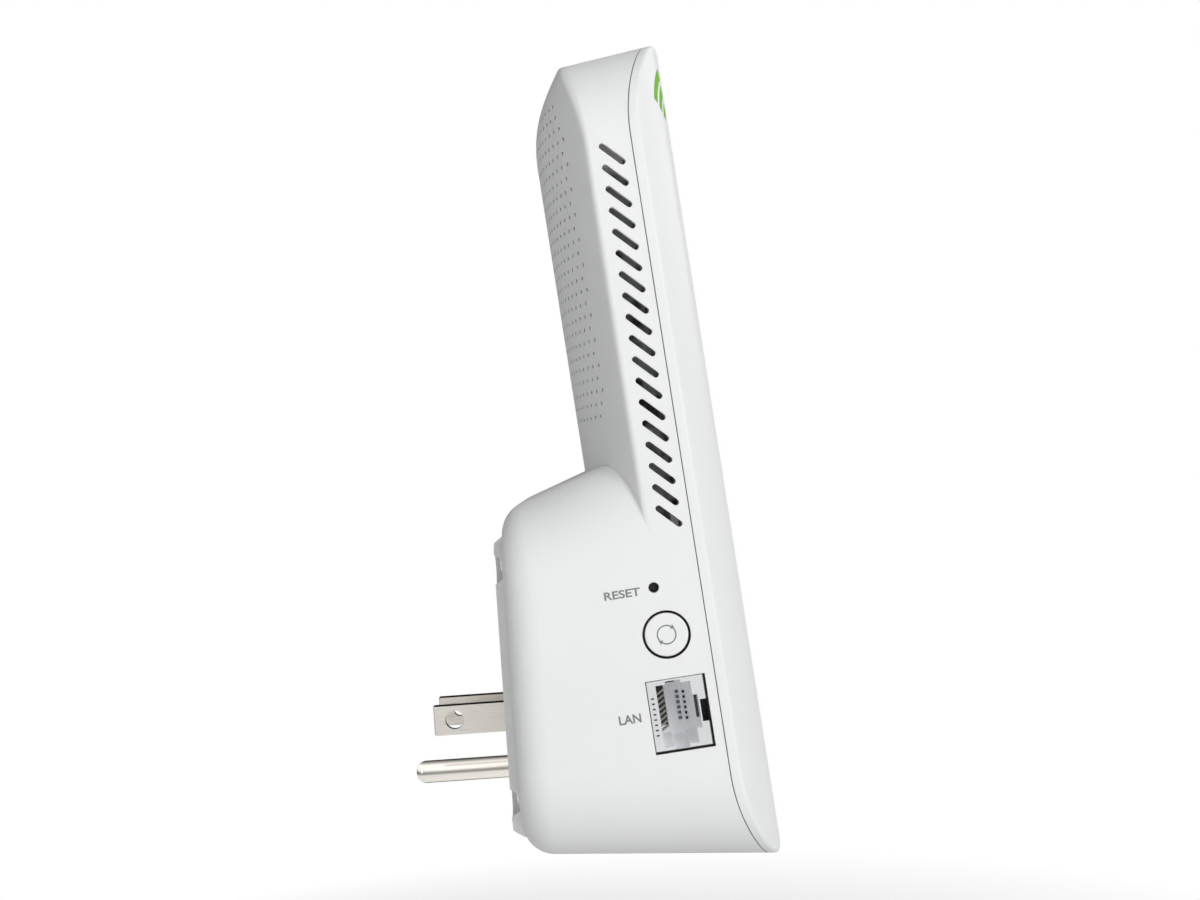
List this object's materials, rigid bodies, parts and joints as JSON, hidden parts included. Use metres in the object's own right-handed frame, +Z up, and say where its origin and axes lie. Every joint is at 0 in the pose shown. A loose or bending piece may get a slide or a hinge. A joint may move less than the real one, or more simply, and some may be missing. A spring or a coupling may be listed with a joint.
{
  "type": "wifi range extender",
  "caption": "Plug-in wifi range extender: tall leaning body with vented sides and a perforated back on a wall-plug housing, with a network socket and two side controls.",
  "frame": {"origin": "on the wall plane, midway between the two flat blades at their mid height", "axes": "+Y along the plug into the wall, +Z up, +X to the right when facing the front; the front faces -Y"},
  "size_m": [0.08, 0.0765, 0.1648],
  "materials": {
    "cover_white": "satin",
    "shell_white": "fine matte",
    "plate_white": "fine matte",
    "button_white": "satin",
    "plug_nickel": "nickel plated",
    "screw_steel": "zinc plated",
    "signal_green": "translucent",
    "guide_clear": "translucent",
    "led_white": "clear",
    "socket_grey": "moulded",
    "contact_gold": "gold flash",
    "board_green": "solder mask",
    "black_plastic": "moulded",
    "switch_black": "moulded",
    "tin": "tin plated",
    "aluminium": "bead blasted",
    "pad_grey": "soft",
    "can_aluminium": "drawn",
    "sleeve_black": "shrink sleeve",
    "ferrite": "sintered",
    "copper_wire": "enamelled",
    "tape_yellow": "polyester tape",
    "film_yellow": "moulded box",
    "disc_blue": "epoxy dip",
    "disc_orange": "epoxy dip",
    "fuse_grey": "ceramic",
    "sheet_film": "polyester film",
    "header_white": "moulded",
    "cable_black": "jacket",
    "cable_white": "jacket",
    "cable_green": "jacket",
    "cable_red": "jacket"
  },
  "bodies": {
    "housing": {"front_cover": "cover_white", "rear_shell": "shell_white", "plug_plate": "plate_white", "plate_screws": "screw_steel", "line_blade": "plug_nickel", "neutral_blade": "plug_nickel", "ground_pin": "plug_nickel", "sync_switch": "switch_black", "reset_switch": "switch_black", "lan_jack_housing": "socket_grey", "lan_jack_contacts": "contact_gold", "lan_magnetics": "black_plastic", "main_board": "board_green", "board_screws": "screw_steel", "heat_spreader": "aluminium", "spreader_spacers": "contact_gold", "spreader_screws": "screw_steel", "shield_can_upper": "tin", "shield_can_lower": "tin", "thermal_pads": "pad_grey", "main_chips": "black_plastic", "board_capacitors": "can_aluminium", "side_antennas": "board_green", "top_antennas": "board_green", "antenna_connectors": "contact_gold", "antenna_cables": "cable_black", "signal_lens": "signal_green", "light_guide": "guide_clear", "signal_leds": "led_white", "insulator_sheet": "sheet_film", "power_board": "board_green", "power_board_screws": "screw_steel", "bulk_capacitors": "sleeve_black", "output_capacitors": "sleeve_black", "transformer_core": "ferrite", "transformer_winding": "tape_yellow", "transformer_bobbin": "black_plastic", "choke_core": "ferrite", "choke_windings": "copper_wire", "x_capacitor": "film_yellow", "y_capacitor": "disc_blue", "varistor": "disc_orange", "fuse": "fuse_grey", "bridge_rectifier": "black_plastic", "power_chip": "black_plastic", "power_header": "header_white", "main_header": "header_white", "dc_cable": "cable_red", "live_wire": "cable_black", "neutral_wire": "cable_white", "ground_wire": "cable_green"},
    "sync_button": {"sync_button": "button_white", "sync_plunger": "switch_black"},
    "reset_plunger": {"reset_plunger": "switch_black"}
  },
  "joints": [
    {"name": "sync_press", "type": "slide", "parent": "housing", "child": "sync_button", "axis": [1, 0, 0], "range_m": [0, 0.0005], "stiffness_N_per_m": 300, "springref_m": -0.002},
    {"name": "reset_press", "type": "slide", "parent": "housing", "child": "reset_plunger", "axis": [1, 0, 0], "range_m": [0, 0.00025], "stiffness_N_per_m": 200, "springref_m": -0.003}
  ]
}
